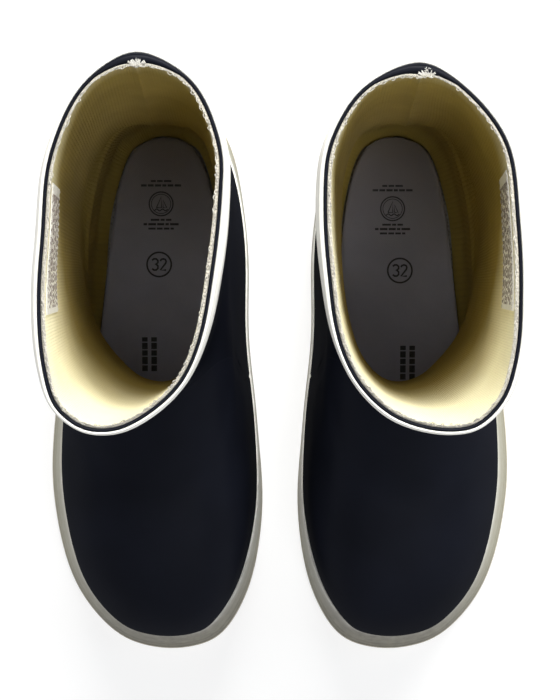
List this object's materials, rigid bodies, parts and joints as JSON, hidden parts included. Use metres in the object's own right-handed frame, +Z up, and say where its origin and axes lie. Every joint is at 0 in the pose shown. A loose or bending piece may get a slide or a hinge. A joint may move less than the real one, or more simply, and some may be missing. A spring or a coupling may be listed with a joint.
{
  "type": "deck boots",
  "caption": "Pair of short navy rubber deck boots with white top bands and foxing, knitted lining and loose grey footbeds.",
  "frame": {"origin": "on the floor under the middle of the pair, midway between the boots and midway between toe and heel", "axes": "+Z up, -Y towards the toes, +X from the right boot to the left boot"},
  "size_m": [0.1912, 0.228, 0.25],
  "materials": {
    "navy_rubber": "satin",
    "white_rubber": "satin",
    "sole_rubber": "matte",
    "knit": "matte",
    "stiffener": "matte",
    "board": "matte",
    "sponge": "matte",
    "shank_nylon": "matte",
    "footbed_foam": "matte",
    "footbed_fabric": "matte",
    "label_cloth": "matte"
  },
  "bodies": {
    "right_boot": {"right_outsole": "sole_rubber", "right_heel_block": "sole_rubber", "right_foxing": "white_rubber", "right_filler": "sponge", "right_shank": "shank_nylon", "right_insole_board": "board", "right_vamp": "navy_rubber", "right_leg": "navy_rubber", "right_backstay": "navy_rubber", "right_top_band": "white_rubber", "right_toe_puff": "stiffener", "right_heel_counter": "stiffener", "right_lining": "knit", "right_label": "label_cloth"},
    "right_footbed": {"right_footbed_foam": "footbed_foam", "right_footbed_cover": "footbed_fabric"},
    "left_boot": {"left_outsole": "sole_rubber", "left_heel_block": "sole_rubber", "left_foxing": "white_rubber", "left_filler": "sponge", "left_shank": "shank_nylon", "left_insole_board": "board", "left_vamp": "navy_rubber", "left_leg": "navy_rubber", "left_backstay": "navy_rubber", "left_top_band": "white_rubber", "left_toe_puff": "stiffener", "left_heel_counter": "stiffener", "left_lining": "knit", "left_label": "label_cloth"},
    "left_footbed": {"left_footbed_foam": "footbed_foam", "left_footbed_cover": "footbed_fabric"}
  },
  "joints": [
    {"name": "right_footbed_lift", "type": "hinge", "parent": "right_boot", "child": "right_footbed", "pos_m": [-0.0456, -0.0959, 0.0196], "axis": [1, 0, 0], "range_deg": [0, 10]},
    {"name": "boots_apart", "type": "slide", "parent": "right_boot", "child": "left_boot", "axis": [1, 0, 0], "range_m": [0, 0.2]},
    {"name": "left_footbed_lift", "type": "hinge", "parent": "left_boot", "child": "left_footbed", "pos_m": [0.0456, -0.0959, 0.0196], "axis": [1, 0, 0], "range_deg": [0, 10]}
  ]
}
